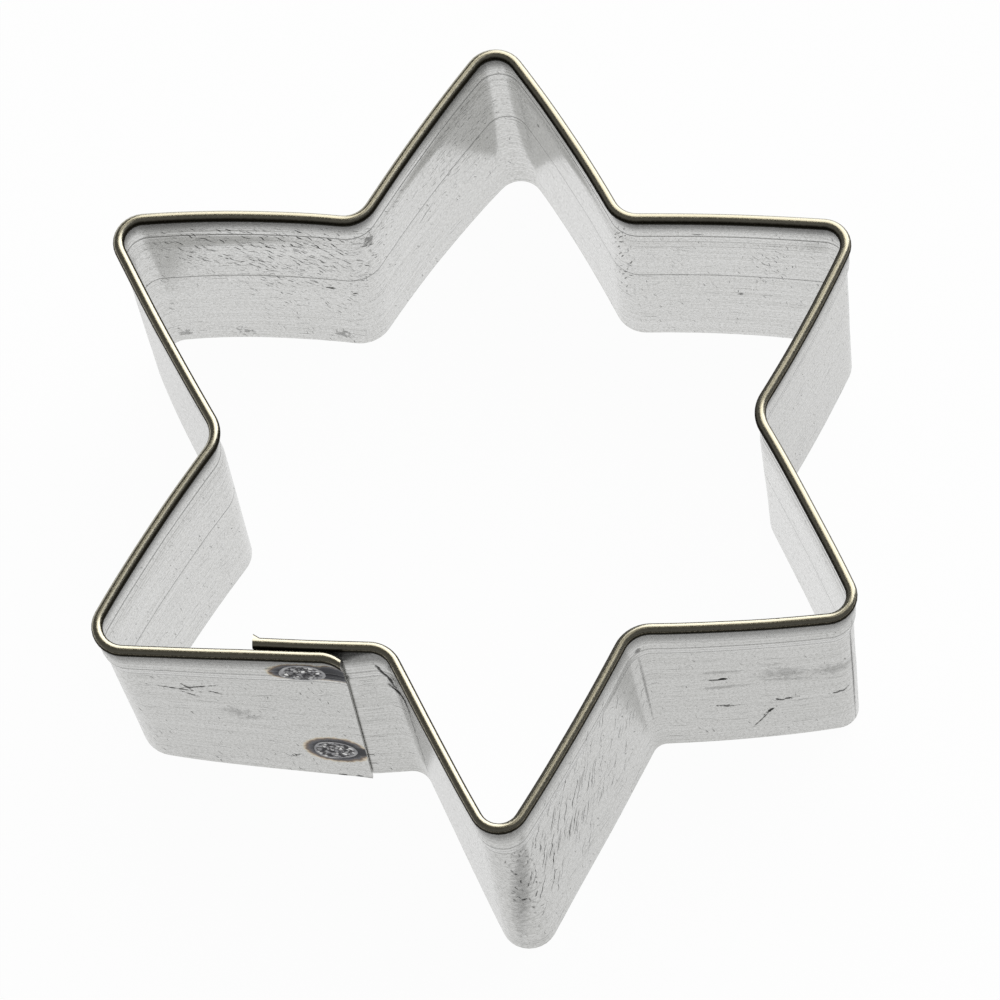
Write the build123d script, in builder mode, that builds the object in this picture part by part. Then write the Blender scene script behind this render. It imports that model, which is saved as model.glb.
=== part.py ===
"""A six-point star cookie cutter: one strip of tinplate, closed by two spot welds.

The strip stands on its cutting edge. Its upper edge is curled outward into the rim,
and its two ends lap on the near left leg, where the spot welds hold them.
"""

from build123d import *
import math
import os

os.makedirs("parts", exist_ok=True)

# Driving sizes, in millimetres
star_radius = 35.4          # centre to the sharp corner of a point
band_height = 22.0          # cutting edge to the top of the rim
tin = 0.3                   # thickness of the tinplate
curl_bore = 0.3             # hollow inside the rolled rim
bore_sides = 6              # its flats, which stay within 0.02 mm of a round hollow
curl_slot = 0.15            # opening left between the curl's edge and the wall
point_radius = 1.6          # inside face's bend at the points
notch_radius = 2.6          # inside face's bend at the notches
lap_bend_radius = 4.0       # gentle bend that takes the inner layer in behind the outer one
lap_length = 7.0            # how far the two ends overlap
lap_clearance = 0.05        # between the two layers where they are pressed together
bead_clearance = 0.1        # between the inner layer's rim and the outer layer's wall
step_height = 0.8           # below the rim, where the inner layer steps away from the outer
weld_diameter = 3.2         # mark of the welding electrode
weld_sink = 0.05            # depth that the electrode pressed the weld in
upper_weld_margin = 0.1     # from the inner layer's step down to the upper weld
upper_weld_setback = 3.4    # from the outer layer's end to the upper weld's middle
lower_weld_setback = 2.5    # the same for the lower weld
lower_weld_height = 4.6     # cutting edge to the lower weld's middle
cut_overrun = 1.0           # how far a cutter passes beyond what it cuts

# The strip was bent by hand, so each corner of its inside face stands a little to the
# right of and behind the corner of a true star, by these shares of the star's radius.
# They run anticlockwise from the notch beside the lap to the point at the lap's far side.
rim_shift_shares = [
    (0.070, -0.010), (0.025, -0.005), (0.020, 0.015), (-0.050, 0.030),
    (0.005, 0.010), (-0.075, -0.040), (-0.010, 0.000), (0.010, -0.050),
    (0.005, 0.015), (0.020, 0.035), (-0.010, 0.010), (-0.020, 0.020),
]
foot_shift_shares = [
    (0.080, -0.045), (0.035, -0.025), (0.035, 0.000), (-0.070, 0.045),
    (-0.010, 0.030), (-0.090, -0.035), (-0.030, 0.015), (0.015, -0.060),
    (-0.020, 0.015), (0.030, 0.035), (-0.005, -0.010), (0.000, 0.030),
]
rim_end_shares = (-0.322, -0.525)     # the outer layer's end, from the star's middle
foot_end_shares = (-0.310, -0.551)

# Sizes that follow
bead_diameter = curl_bore + 2 * tin
bead_radius = bead_diameter / 2
bead_bottom = band_height - bead_diameter
step_bottom = bead_bottom - step_height
pressed_spacing = tin + lap_clearance
bead_spacing = bead_diameter + bead_clearance
notch_share = 1 / math.sqrt(3)        # a notch's distance from the middle of a true star
first_notch_angle = 240
corner_step_angle = 30
bore_step_angle = 360 // bore_sides


def between(low, high, share):
    """The value that lies the share of the way from low to high."""
    return low + (high - low) * share


def outward_from(direction):
    """Square to a direction of travel along the strip, towards the star's outside."""
    return Vector(direction.Y, -direction.X)


def star_corners(height):
    """Corners of the strip's inside face at a height, and the outer layer's end."""
    share = height / bead_bottom
    corners = []
    for index, (foot, rim) in enumerate(zip(foot_shift_shares, rim_shift_shares)):
        reach = star_radius if index % 2 else star_radius * notch_share
        angle = math.radians(first_notch_angle + corner_step_angle * index)
        shift = between(Vector(*foot), Vector(*rim), share) * star_radius
        corners.append(Vector(reach * math.cos(angle), reach * math.sin(angle)) + shift)
    end = between(Vector(*foot_end_shares), Vector(*rim_end_shares), share) * star_radius
    return corners, end


def strip_line(height, spacing, depth=0):
    """Points of a line along the strip at a height, and the radii of its bends.

    The line lies in the strip's inside face, or at a depth behind it. It starts at the
    inner end, which is behind the outer layer by the spacing, goes once round the star
    and ends at the outer end.
    """
    corners, end = star_corners(height)
    along = (end - corners[-1]).normalized()
    lap_mouth = end - outward_from(along) * spacing
    stops = [lap_mouth - along * lap_length, lap_mouth, *corners, end]
    bends = [lap_bend_radius]
    for index in range(len(corners)):
        bends.append(point_radius if index % 2 else notch_radius)

    runs = [(after - before).normalized() for before, after in zip(stops, stops[1:])]
    points = [stops[0] + outward_from(runs[0]) * depth]
    radii = []
    for stop, arriving, leaving, bend in zip(stops[1:], runs, runs[1:], bends):
        corner_normal = outward_from(arriving + leaving) / (1 + arriving.dot(leaving))
        points.append(stop + corner_normal * depth)
        turns_left = arriving.cross(leaving).Z > 0
        radii.append(bend + depth if turns_left else bend - depth)
    points.append(end + outward_from(runs[-1]) * depth)
    return [(point.X, point.Y) for point in points], radii


def lap_plane_origin(height, setback):
    """Point on the outer layer's outer face, set back from its end, and the lap's direction."""
    corners, end = star_corners(height)
    along = (end - corners[-1]).normalized()
    origin = end - along * setback + outward_from(along) * tin - star_middle
    return origin + Vector(0, 0, height), along


def weld_plane(height, setback):
    """Plane on the outer layer's outer face, with its normal pointing out."""
    origin, along = lap_plane_origin(height, setback)
    above, along_above = lap_plane_origin(height + weld_diameter, setback)
    return Plane(origin=origin, x_dir=along, z_dir=along.cross(above - origin))


def outline_box(height, spacing, depth):
    """Box of the strip's outline at a height and depth, before the part's origin is set."""
    points, radii = strip_line(height, spacing, depth)
    return FilletPolyline(*points, radius=radii).bounding_box()


# The part's origin is under the middle of the box that holds the rim and the foot
rim_box = outline_box(bead_bottom, bead_spacing, bead_diameter)
foot_box = outline_box(0, pressed_spacing, tin)
star_middle = rim_box.add(foot_box).center()

levels = [(0, pressed_spacing), (step_bottom, pressed_spacing), (bead_bottom, bead_spacing)]

upper_weld_height = step_bottom - upper_weld_margin - weld_diameter / 2
weld_places = {
    "weld_upper": weld_plane(upper_weld_height, upper_weld_setback),
    "weld_lower": weld_plane(lower_weld_height, lower_weld_setback),
}

# The strip: its curled rim, its wall, and the two holes that the welds fill
with BuildPart() as star_band:
    rim_points, rim_radii = strip_line(bead_bottom, bead_spacing)
    with BuildLine(Plane(origin=(-star_middle.X, -star_middle.Y, bead_bottom))) as rim_line:
        FilletPolyline(*rim_points, radius=rim_radii)
    rim_wire = rim_line.wire()
    travel = rim_wire % 0
    curl_plane = Plane(origin=rim_wire @ 0, x_dir=outward_from(travel), z_dir=-travel)
    curl_middle = Vector(bead_radius, bead_radius)
    slot_angle = math.degrees(math.acos((tin + curl_slot - bead_radius) / bead_radius))
    curl_turn = 180 + slot_angle
    bore_corners = []
    for angle in range(-bore_step_angle, 180 + bore_step_angle, bore_step_angle):
        bore_corners.append(curl_middle + Vector(curl_bore / 2, 0).rotate(Axis.Z, angle))
    slot_top = (tin + curl_slot, bore_corners[0].Y)
    with BuildSketch(curl_plane):
        with BuildLine():
            outside = CenterArc(curl_middle, bead_radius, 180, -curl_turn)
            Polyline(outside @ 1, slot_top, *bore_corners, (tin, 0), (0, 0), outside @ 0)
        make_face()
    sweep(path=rim_wire)

    for height, spacing in levels:
        inside_points, inside_radii = strip_line(height, spacing)
        outside_points, outside_radii = strip_line(height, spacing, tin)
        with BuildSketch(Plane(origin=(-star_middle.X, -star_middle.Y, height))):
            with BuildLine():
                inside_face = FilletPolyline(*inside_points, radius=inside_radii)
                outside_face = FilletPolyline(*outside_points, radius=outside_radii)
                Line(inside_face @ 0, outside_face @ 0)
                Line(inside_face @ 1, outside_face @ 1)
            make_face()
    loft(ruled=True)

    for place in weld_places.values():
        with BuildSketch(place):
            Circle(weld_diameter / 2)
        extrude(amount=cut_overrun, both=True, mode=Mode.SUBTRACT)

star_band.part.label = "star_band"
export_step(star_band.part, "parts/star_band.step")

# The spot welds: each fills its hole through both layers, pressed in a little at both faces
weld_depth = tin + pressed_spacing
for name, place in weld_places.items():
    with BuildPart() as weld:
        with BuildSketch(place.offset(-weld_sink)):
            Circle(weld_diameter / 2)
        extrude(amount=2 * weld_sink - weld_depth)
    weld.part.label = name
    export_step(weld.part, f"parts/{name}.step")
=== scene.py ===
# %% [markdown]
# # A tinplate cookie cutter
#
# The real cutter is one strip of tinplate. A machine curls the strip's upper edge into a
# round rim, a worker bends the strip into a star, and two spot welds hold its lapped ends.
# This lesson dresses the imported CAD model: it sweeps the strip again with its true bends,
# curl and roll lines, and gives the metal its rolled grain, its scuffs and its weld marks.

# %% The frame, and the box that the CAD model fills
import math
from functools import partial

import bmesh
import bpy
from mathutils import Matrix, Vector, noise
from mathutils.bvhtree import BVHTree


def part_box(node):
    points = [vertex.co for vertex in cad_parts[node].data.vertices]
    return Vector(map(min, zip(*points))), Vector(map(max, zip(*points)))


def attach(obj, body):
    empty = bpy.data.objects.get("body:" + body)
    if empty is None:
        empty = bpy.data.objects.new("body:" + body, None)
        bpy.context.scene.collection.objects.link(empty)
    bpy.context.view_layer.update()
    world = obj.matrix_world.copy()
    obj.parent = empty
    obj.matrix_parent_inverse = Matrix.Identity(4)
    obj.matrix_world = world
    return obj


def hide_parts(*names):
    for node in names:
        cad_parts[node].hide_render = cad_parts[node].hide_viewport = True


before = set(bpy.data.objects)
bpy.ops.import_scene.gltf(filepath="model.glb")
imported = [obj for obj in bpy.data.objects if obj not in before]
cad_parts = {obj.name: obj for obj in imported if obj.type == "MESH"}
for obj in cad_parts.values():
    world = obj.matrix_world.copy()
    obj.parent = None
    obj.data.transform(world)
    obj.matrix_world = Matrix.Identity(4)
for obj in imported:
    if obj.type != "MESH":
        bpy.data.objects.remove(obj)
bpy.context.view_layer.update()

scene = bpy.context.scene
MM = 0.001

# %% [markdown]
# ## Camera
#
# The photograph was taken from high above the near side, through a long lens, so the far
# walls look almost as large as the near ones. Its axes come from matching the star's
# corners at the rim and at the foot. They are kept as three directions, because the
# cutter also lies turned a little in the picture, which a plain "look at" can't give.

# %% Camera
camera_right = Vector((0.99601, 0.00556, -0.08909))
camera_up = Vector((0.03184, 0.91026, 0.41280))
camera_back = Vector((0.08339, -0.41399, 0.90645))
camera_place = Vector((126.02, -620.685, 1369.51)) * MM
SENSOR_WIDTH = 36.0
LENS = 686.75

camera_data = bpy.data.cameras.new("camera")
camera_data.sensor_width = SENSOR_WIDTH
camera_data.lens = LENS
camera_data.clip_start = 0.1
camera_data.clip_end = 20.0
camera = bpy.data.objects.new("camera", camera_data)
scene.collection.objects.link(camera)
camera_turn = Matrix((camera_right, camera_up, camera_back)).transposed()
camera.matrix_world = Matrix.Translation(camera_place) @ camera_turn.to_4x4()
scene.camera = camera
scene.view_settings.view_transform = "Standard"
print("camera distance in mm:", round(camera_place.length / MM))

# %% [markdown]
# ## Node helpers
#
# Materials and Geometry Nodes trees are made of the same things: nodes, values on their
# sockets, and links. A few short helpers keep the recipes below readable. A list of links
# drawn by hand in the editor would do the same, but here the script is the drawing.


# %% Node helpers
def add_node(tree, kind, values=None, **settings):
    """A new node in a tree, with its settings, and its input sockets set or linked."""
    node = tree.nodes.new(kind)
    for setting, value in settings.items():
        setattr(node, setting, value)
    for socket, value in (values or {}).items():
        if isinstance(value, bpy.types.NodeSocket):
            tree.links.new(value, node.inputs[socket])
        else:
            node.inputs[socket].default_value = value
    return node


def maths(tree, operation, first, second=0.0, third=0.0, clamp=False):
    """The result of one Math node; numbers and sockets may be mixed."""
    kind = "ShaderNodeMath"
    values = {0: first, 1: second, 2: third}
    return add_node(tree, kind, values, operation=operation, use_clamp=clamp).outputs[0]


def vector_maths(tree, operation, first, second=(0.0, 0.0, 0.0), output=0):
    """The result of one Vector Math node."""
    values = {0: first, 1: second}
    return add_node(tree, "ShaderNodeVectorMath", values, operation=operation).outputs[output]


def ramp_value(tree, value, low, high, out_low=0.0, out_high=1.0):
    """A value mapped smoothly from one range to another."""
    values = {0: value, 1: low, 2: high, 3: out_low, 4: out_high}
    node = add_node(tree, "ShaderNodeMapRange", values, interpolation_type="SMOOTHSTEP")
    return node.outputs["Result"]


def scaled(tree, vector, factor):
    """A vector made longer or shorter by a factor."""
    values = {0: vector, "Scale": factor}
    return add_node(tree, "ShaderNodeVectorMath", values, operation="SCALE").outputs[0]


def noise_value(tree, place, scale, detail, output="Fac"):
    """Smooth noise at a place, from 0 to 1, or as a colour."""
    values = {"Vector": place, "Scale": scale, "Detail": detail}
    return add_node(tree, "ShaderNodeTexNoise", values).outputs[output]


def new_material(name):
    """A material with nodes, its node tree and its Principled BSDF."""
    material = bpy.data.materials.new(name)
    material.use_nodes = True
    return material, material.node_tree, material.node_tree.nodes["Principled BSDF"]


# %% [markdown]
# ## The route of the strip
#
# The strip was bent by hand, so no two legs are alike: each corner has its own place at
# the rim and at the foot, and each leg bows out a little. A perfect star would look
# wrong next to the photograph. So the route is a list of twelve corners, and two rules
# turn it into a line: a corner is an arc, and a leg is a slightly bowed curve between
# two arcs. The rim and the foot get the same number of points, so that each point at the
# foot belongs to one at the rim.

# %% Sizes of the strip, in millimetres
band_height = 22.0
tin = 0.3
bead_radius = 0.45
step_height = 0.8
bead_middle_height = band_height - bead_radius
bead_bottom = band_height - 2 * bead_radius
step_bottom = bead_bottom - step_height
pressed_spacing = 0.35
bead_spacing = 0.96
lap_length = 7.0
lap_bend_radius = 4.0

# %% Corners of the inside face, in millimetres, anticlockwise from the notch by the lap
# Each line: corner at the rim, corner at the foot, bow of the next leg at the rim and at
# the foot, radius of the bend at the rim and at the foot
star_middle = Vector((-1.140, -0.992))
corners = [
    ((-7.60, -17.93), (-6.68, -19.11), 0.10, 0.04, 2.8, 1.9),
    ((0.88, -35.15), (1.33, -37.03), 0.21, 0.07, 1.5, 1.9),
    ((10.76, -16.95), (11.33, -17.46), 0.23, 0.25, 3.0, 1.5),
    ((28.61, -16.48), (27.59, -16.29), 0.17, 0.16, 1.5, 1.4),
    ((20.32, 0.78), (20.00, 1.52), 0.25, 0.21, 3.2, 2.8),
    ((28.11, 16.12), (27.46, 16.08), 0.19, 0.39, 1.4, 2.1),
    ((9.83, 17.39), (8.93, 18.01), 0.29, 0.28, 2.9, 2.7),
    ((0.28, 33.19), (0.60, 32.88), 0.22, 0.42, 1.6, 1.9),
    ((-10.05, 17.75), (-10.94, 17.59), 0.43, 0.49, 2.9, 2.7),
    ((-29.68, 18.62), (-29.09, 18.53), 0.17, 0.37, 1.5, 2.1),
    ((-20.58, 0.25), (-20.37, -0.27), 0.29, 0.29, 3.1, 2.4),
    ((-31.17, -17.25), (-30.24, -16.52), 0.06, 0.16, 1.7, 2.4),
]
rim_end = Vector((-11.42, -18.64))
foot_end = Vector((-10.99, -19.59))
leg_points = 14
bend_points = 10
end_points = 6


# %% Directions and curves in the plan
def outward_from(direction):
    """Square to a direction of travel along the strip, towards the star's outside."""
    return Vector((direction.y, -direction.x))


def turned(direction, angle):
    """A flat direction turned anticlockwise by an angle."""
    return Matrix.Rotation(angle, 2) @ direction


def cubic_point(handles, share):
    """A point of the cubic curve that four handles draw."""
    rest = 1 - share
    weights = (rest ** 3, 3 * share * rest ** 2, 3 * share ** 2 * rest, share ** 3)
    return sum((handle * weight for handle, weight in zip(handles, weights)), Vector((0, 0)))


# %% From corners to a line
def strip_route(stops, bows, radii):
    """Points along the strip's inside face: bowed legs between rounded corners."""
    legs = []
    for start, stop, bow in zip(stops, stops[1:], bows):
        chord = stop - start
        lean = 4 * bow / chord.length
        straight = chord.normalized()
        legs.append((turned(straight, -lean), turned(straight, lean)))

    arcs = []
    for corner, leg_in, leg_out, radius in zip(stops[1:-1], legs, legs[1:], radii):
        arriving, leaving = leg_in[1], leg_out[0]
        turn = arriving.angle_signed(leaving) * -1
        tangent = radius * abs(math.tan(turn / 2))
        first = corner - arriving * tangent
        side = math.copysign(radius, turn)
        middle = first - outward_from(arriving) * side
        spoke = first - middle
        steps = range(bend_points + 1)
        arcs.append([middle + turned(spoke, turn * step / bend_points) for step in steps])

    points = []
    starts = [[stops[0]], *arcs]
    ends = [*arcs, [stops[-1]]]
    for before, after, leg in zip(starts, ends, legs):
        first, last = before[-1], after[0]
        pull = (last - first).length / 3
        handles = [first, first + leg[0] * pull, last - leg[1] * pull, last]
        shares = [step / leg_points for step in range(leg_points)]
        if after is ends[-1]:
            finer = leg_points * end_points
            shares = shares[:-1] + [1 - step / finer for step in range(end_points * 2, 0, -1)]
        for share in shares:
            points.append(cubic_point(handles, share))
        if after is not ends[-1]:
            points.extend(after[:-1])
    points.append(stops[-1].copy())
    return [point - star_middle for point in points]


def level_route(level, end, spacing):
    """The route at the rim (level 0) or the foot (level 1), from inner end to outer end."""
    places = [Vector(corner[level]) for corner in corners]
    along = (end - places[-1]).normalized()
    lap_mouth = end - outward_from(along) * spacing
    stops = [lap_mouth - along * lap_length, lap_mouth, *places, end]
    bows = [0.0, 0.0] + [corner[2 + level] for corner in corners]
    radii = [lap_bend_radius] + [corner[4 + level] for corner in corners]
    return strip_route(stops, bows, radii)


# %% Three routes: beside the bead, under it where the lap is pressed flat, and at the foot
bead_route = level_route(0, rim_end, bead_spacing)
pressed_route = level_route(0, rim_end, pressed_spacing)
foot_route = level_route(1, foot_end, pressed_spacing)

runs = [0.0]
for before, after in zip(bead_route, bead_route[1:]):
    runs.append(runs[-1] + (after - before).length)
strip_length = runs[-1]
print("strip length in mm:", round(strip_length, 1), "route points:", len(bead_route))


# %% [markdown]
# The outer end isn't pressed down as flat as the rest of the lap. Its bead stands off by
# over half a millimetre, the wall under it by less, and the foot by almost nothing.

# %% How far the outer end stands off, in millimetres
flare_length = 1.7
rim_flare = 0.62
wall_flare = 0.28
foot_flare = 0.08


def flare_share(run):
    """0 along the strip, and rising to 1 over the last of its run."""
    return max(1 - (strip_length - run) / flare_length, 0.0) ** 2


def route_mesh():
    """The bead route as loose points that carry all that the node tree needs to know."""
    places, outward, step_shift, foot_shift = [], [], [], []
    last = len(bead_route) - 1
    for index, point in enumerate(bead_route):
        before = bead_route[max(index - 1, 0)]
        after = bead_route[min(index + 1, last)]
        out = outward_from((after - before).normalized())
        away = out * flare_share(runs[index])
        step = pressed_route[index] - point + away * (wall_flare - rim_flare)
        drop = foot_route[index] - pressed_route[index] + away * (foot_flare - wall_flare)
        places.append((*((point + away * rim_flare) * MM), 0.0))
        outward.append((*out, 0.0))
        step_shift.append((*(step * MM), 0.0))
        foot_shift.append((*(drop * MM), 0.0))
    mesh = bpy.data.meshes.new("strip_route")
    mesh.from_pydata(places, [], [])
    fields = {"outward": outward, "step_shift": step_shift, "foot_shift": foot_shift}
    for name, vectors in fields.items():
        attribute = mesh.attributes.new(name, "FLOAT_VECTOR", "POINT")
        attribute.data.foreach_set("vector", [value for vector in vectors for value in vector])
    attribute = mesh.attributes.new("run", "FLOAT", "POINT")
    attribute.data.foreach_set("value", [run * MM for run in runs])
    return mesh


# %% [markdown]
# ## The section of the strip
#
# Cut across, the strip is a long thin wall with a curl at the top, like a question mark.
# The curl sits over the wall and stands proud of it on both sides, more on the inside.
# The machine that rolled it left the top of the wall set out a little, down to a small
# jog, with two fine roll lines above the jog. They show all round the star. The outline
# of the section is drawn here point by point, with close points where the shape is fine.

# %% Sizes of the section, in millimetres
edge_round = 0.06
neck_height = 20.75
wall_setback = 0.18
bulge_depth = 0.20
jog_height = 17.7
jog_blend = 0.9
roll_line_heights = (18.4, 19.05)
roll_line_depth = 0.03
roll_line_half_width = 0.14
wall_step = 1.4
fine_step = 0.07
curl_start = math.radians(242)
curl_end = math.radians(-52)
curl_steps = 30
bore_steps = 16
neck_steps = 6
# Pulls that round the neck off: at the wall and at the curl, outside and inside the bend
outer_wall_pull = 0.18
outer_curl_pull = 0.14
inner_wall_pull = 0.22
inner_curl_pull = 0.12


# %% The wall, with its jog and roll lines
def smooth(value, low, high):
    """0 below low, 1 above high, and smooth between."""
    share = min(max((value - low) / (high - low), 0.0), 1.0)
    return share * share * (3 - 2 * share)


def wall_depth(height):
    """How far the wall's inside face stands behind the bead's, with its jog and roll lines."""
    depth = wall_setback * height / bead_bottom
    depth += bulge_depth * smooth(height, jog_height - jog_blend, jog_height + jog_blend)
    for line_height in roll_line_heights:
        nearness = 1 - abs(height - line_height) / roll_line_half_width
        depth -= roll_line_depth * max(nearness, 0.0)
    return depth


def wall_heights():
    """Heights of the wall's points: sparse on plain wall, close at the jog and roll lines."""
    heights = []
    height = wall_step
    while height < jog_height - 2 * jog_blend:
        heights.append(height)
        height += wall_step
    fine = jog_height - jog_blend
    while fine < max(roll_line_heights) + 2 * roll_line_half_width:
        heights.append(fine)
        fine += fine_step
    while fine < neck_height:
        heights.append(fine)
        fine += 4 * fine_step
    return heights


# %% The neck and the curl
def curve_points(start, start_pull, end_pull, end, steps):
    """Points of a cubic curve between two places, each with a pull on the curve."""
    start, end = Vector(start), Vector(end)
    handles = [start, start + Vector(start_pull), end - Vector(end_pull), end]
    return [tuple(cubic_point(handles, step / steps)) for step in range(1, steps + 1)]


def on_bead(radius, angle):
    """A point round the middle of the bead."""
    return (bead_radius + radius * math.cos(angle), bead_middle_height + radius * math.sin(angle))


def section_points():
    """The section as points of depth and height, and the way round it to each point."""
    heights = wall_heights()
    bore_radius = bead_radius - tin
    neck = wall_depth(neck_height)
    tangent = Vector((math.sin(curl_start), -math.cos(curl_start)))
    points = [(edge_round, 0.0), (0.0, edge_round)]
    points += [(wall_depth(height), height) for height in heights]
    points.append((neck, neck_height))
    pulls = ((0, outer_wall_pull), tangent * outer_curl_pull)
    points += curve_points(points[-1], *pulls, on_bead(bead_radius, curl_start), neck_steps)
    for step in range(1, curl_steps + 1):
        angle = curl_start + (curl_end - curl_start) * step / curl_steps
        points.append(on_bead(bead_radius, angle))
    for step in range(bore_steps + 1):
        angle = curl_end + (curl_start - curl_end) * step / bore_steps
        points.append(on_bead(bore_radius, angle))
    pulls = (tangent * -inner_curl_pull, (0, -inner_wall_pull))
    points += curve_points(points[-1], *pulls, (neck + tin, neck_height), neck_steps)
    points += [(tin + wall_depth(height), height) for height in reversed(heights)]
    points += [(tin, edge_round), (tin - edge_round, 0.0), (edge_round, 0.0)]
    widths = [0.0]
    for before, after in zip(points, points[1:]):
        widths.append(widths[-1] + math.dist(before, after))
    return points, widths


# %% The section, and the width at the top of the bead
section, widths = section_points()
strip_width = widths[-1]
top = max(range(len(section)), key=lambda index: section[index][1])
bead_top_width = widths[top]
print("section points:", len(section), "width round the section in mm:", round(strip_width, 2))
print("width at the top of the bead in mm:", round(bead_top_width, 2))


def section_mesh():
    """The section as loose points: x is the depth, z the height, and width runs round it."""
    mesh = bpy.data.meshes.new("strip_section")
    mesh.from_pydata([(depth * MM, 0.0, height * MM) for depth, height in section], [], [])
    attribute = mesh.attributes.new("width", "FLOAT", "POINT")
    attribute.data.foreach_set("value", [width * MM for width in widths])
    return mesh


# %% [markdown]
# ## Sweeping the section along the route
#
# Curve to Mesh would sweep one section along one path, but this wall leans: the rim and
# the foot follow two different lines, and at the lap the inner layer steps in behind the
# outer one. So the tree lays out a grid, one column for each point of the section and
# one row for each point of the route, and moves every vertex to its place by a rule.
# The same tree can make any cutter: only the route changes.


# %% A node tree's sockets
def new_tree(name, kind, inputs, outputs):
    """A node group with named sockets, and its input and output nodes.

    An input is given by its kind, or by its default value if it is a plain number.
    """
    tree = bpy.data.node_groups.new(name, kind)
    for title, value in inputs.items():
        socket = value if isinstance(value, str) else "Float"
        socket_type = "NodeSocket" + socket
        made = tree.interface.new_socket(name=title, in_out="INPUT", socket_type=socket_type)
        if socket == "Float":
            made.default_value = value
    for title, socket in outputs.items():
        socket_type = "NodeSocket" + socket
        tree.interface.new_socket(name=title, in_out="OUTPUT", socket_type=socket_type)
    return tree, tree.nodes.new("NodeGroupInput"), tree.nodes.new("NodeGroupOutput")


def named(tree, name, kind="FLOAT_VECTOR"):
    """The field of a named attribute."""
    node = add_node(tree, "GeometryNodeInputNamedAttribute", {"Name": name}, data_type=kind)
    return node.outputs["Attribute"]


def point_count(tree, geometry):
    """How many points a geometry has."""
    size = add_node(tree, "GeometryNodeAttributeDomainSize", {"Geometry": geometry})
    return size.outputs["Point Count"]


def sample(tree, geometry, field, index, kind="FLOAT_VECTOR"):
    """A field read from a point of another geometry."""
    values = {"Geometry": geometry, "Value": field, "Index": index}
    return add_node(tree, "GeometryNodeSampleIndex", values, data_type=kind).outputs["Value"]


# %% The sweep; points closer than this, in metres, are one
merge_distance = 1e-7


def sweep_tree():
    """Sweeps a section along a leaning route, as a grid that closes round the section."""
    tree, given, result = new_tree(
        "sweep_strip",
        "GeometryNodeTree",
        {
            "Route": "Geometry",
            "Section": "Object",
            "Step bottom": 0.0,
            "Bead bottom": 0.0,
            "Waviness": 0.0,
            "Waves per metre": 0.0,
            "Metal": "Material",
        },
        {"Strip": "Geometry"},
    )
    route = given.outputs["Route"]
    shape = add_node(tree, "GeometryNodeObjectInfo", {"Object": given.outputs["Section"]})
    shape = shape.outputs["Geometry"]
    rows = point_count(tree, route)
    columns = point_count(tree, shape)
    grid = add_node(tree, "GeometryNodeMeshGrid", {"Vertices X": rows, "Vertices Y": columns})
    index = add_node(tree, "GeometryNodeInputIndex").outputs[0]
    row = maths(tree, "FLOOR", maths(tree, "DIVIDE", index, columns))
    column = maths(tree, "SUBTRACT", index, maths(tree, "MULTIPLY", row, columns))

    position = add_node(tree, "GeometryNodeInputPosition").outputs[0]
    place = sample(tree, route, position, row)
    outward = sample(tree, route, named(tree, "outward"), row)
    step_shift = sample(tree, route, named(tree, "step_shift"), row)
    foot_shift = sample(tree, route, named(tree, "foot_shift"), row)
    run = sample(tree, route, named(tree, "run", "FLOAT"), row, "FLOAT")
    on_section = sample(tree, shape, position, column)
    width = sample(tree, shape, named(tree, "width", "FLOAT"), column, "FLOAT")
    split = add_node(tree, "ShaderNodeSeparateXYZ", {0: on_section})
    depth, height = split.outputs["X"], split.outputs["Z"]

    bead_bottom_height = given.outputs["Bead bottom"]
    step_share = maths(tree, "SUBTRACT", bead_bottom_height, height)
    step_range = maths(tree, "SUBTRACT", bead_bottom_height, given.outputs["Step bottom"])
    step_share = maths(tree, "DIVIDE", step_share, step_range, clamp=True)
    foot_share = maths(tree, "DIVIDE", height, bead_bottom_height, clamp=True)
    foot_share = maths(tree, "SUBTRACT", 1.0, foot_share)

    up = add_node(tree, "ShaderNodeCombineXYZ", {"Z": height}).outputs[0]
    skin = vector_maths(tree, "ADD", place, scaled(tree, step_shift, step_share))
    skin = vector_maths(tree, "ADD", skin, scaled(tree, foot_shift, foot_share))
    skin = vector_maths(tree, "ADD", skin, up)
    spot = vector_maths(tree, "ADD", skin, scaled(tree, outward, depth))
    wave = noise_value(tree, skin, given.outputs["Waves per metre"], 1.0)
    wave = maths(tree, "SUBTRACT", wave, 0.5)
    wave = maths(tree, "MULTIPLY", wave, given.outputs["Waviness"])
    spot = vector_maths(tree, "ADD", spot, scaled(tree, outward, wave))
    values = {"Geometry": grid.outputs["Mesh"], "Position": spot}
    moved = add_node(tree, "GeometryNodeSetPosition", values)

    flat_place = add_node(tree, "ShaderNodeCombineXYZ", {"X": run, "Y": width}).outputs[0]
    flat_size = (strip_length * MM, strip_width * MM, 1.0)
    flat_place = vector_maths(tree, "DIVIDE", flat_place, flat_size)
    settings = {"data_type": "FLOAT_VECTOR", "domain": "POINT"}
    flat_place = add_node(tree, "GeometryNodeFieldOnDomain", {"Value": flat_place}, **settings)
    values = {"Geometry": moved.outputs[0], "Name": "strip", "Value": flat_place.outputs["Value"]}
    settings = {"data_type": "FLOAT2", "domain": "CORNER"}
    mapped = add_node(tree, "GeometryNodeStoreNamedAttribute", values, **settings)

    values = {"Geometry": mapped.outputs[0], "Distance": merge_distance}
    closed = add_node(tree, "GeometryNodeMergeByDistance", values)
    real = add_node(tree, "GeometryNodeRealizeInstances", {"Geometry": closed.outputs[0]})
    values = {"Geometry": real.outputs[0], "Material": given.outputs["Metal"]}
    finished = add_node(tree, "GeometryNodeSetMaterial", values)
    tree.links.new(finished.outputs[0], result.inputs["Strip"])
    return tree


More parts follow.
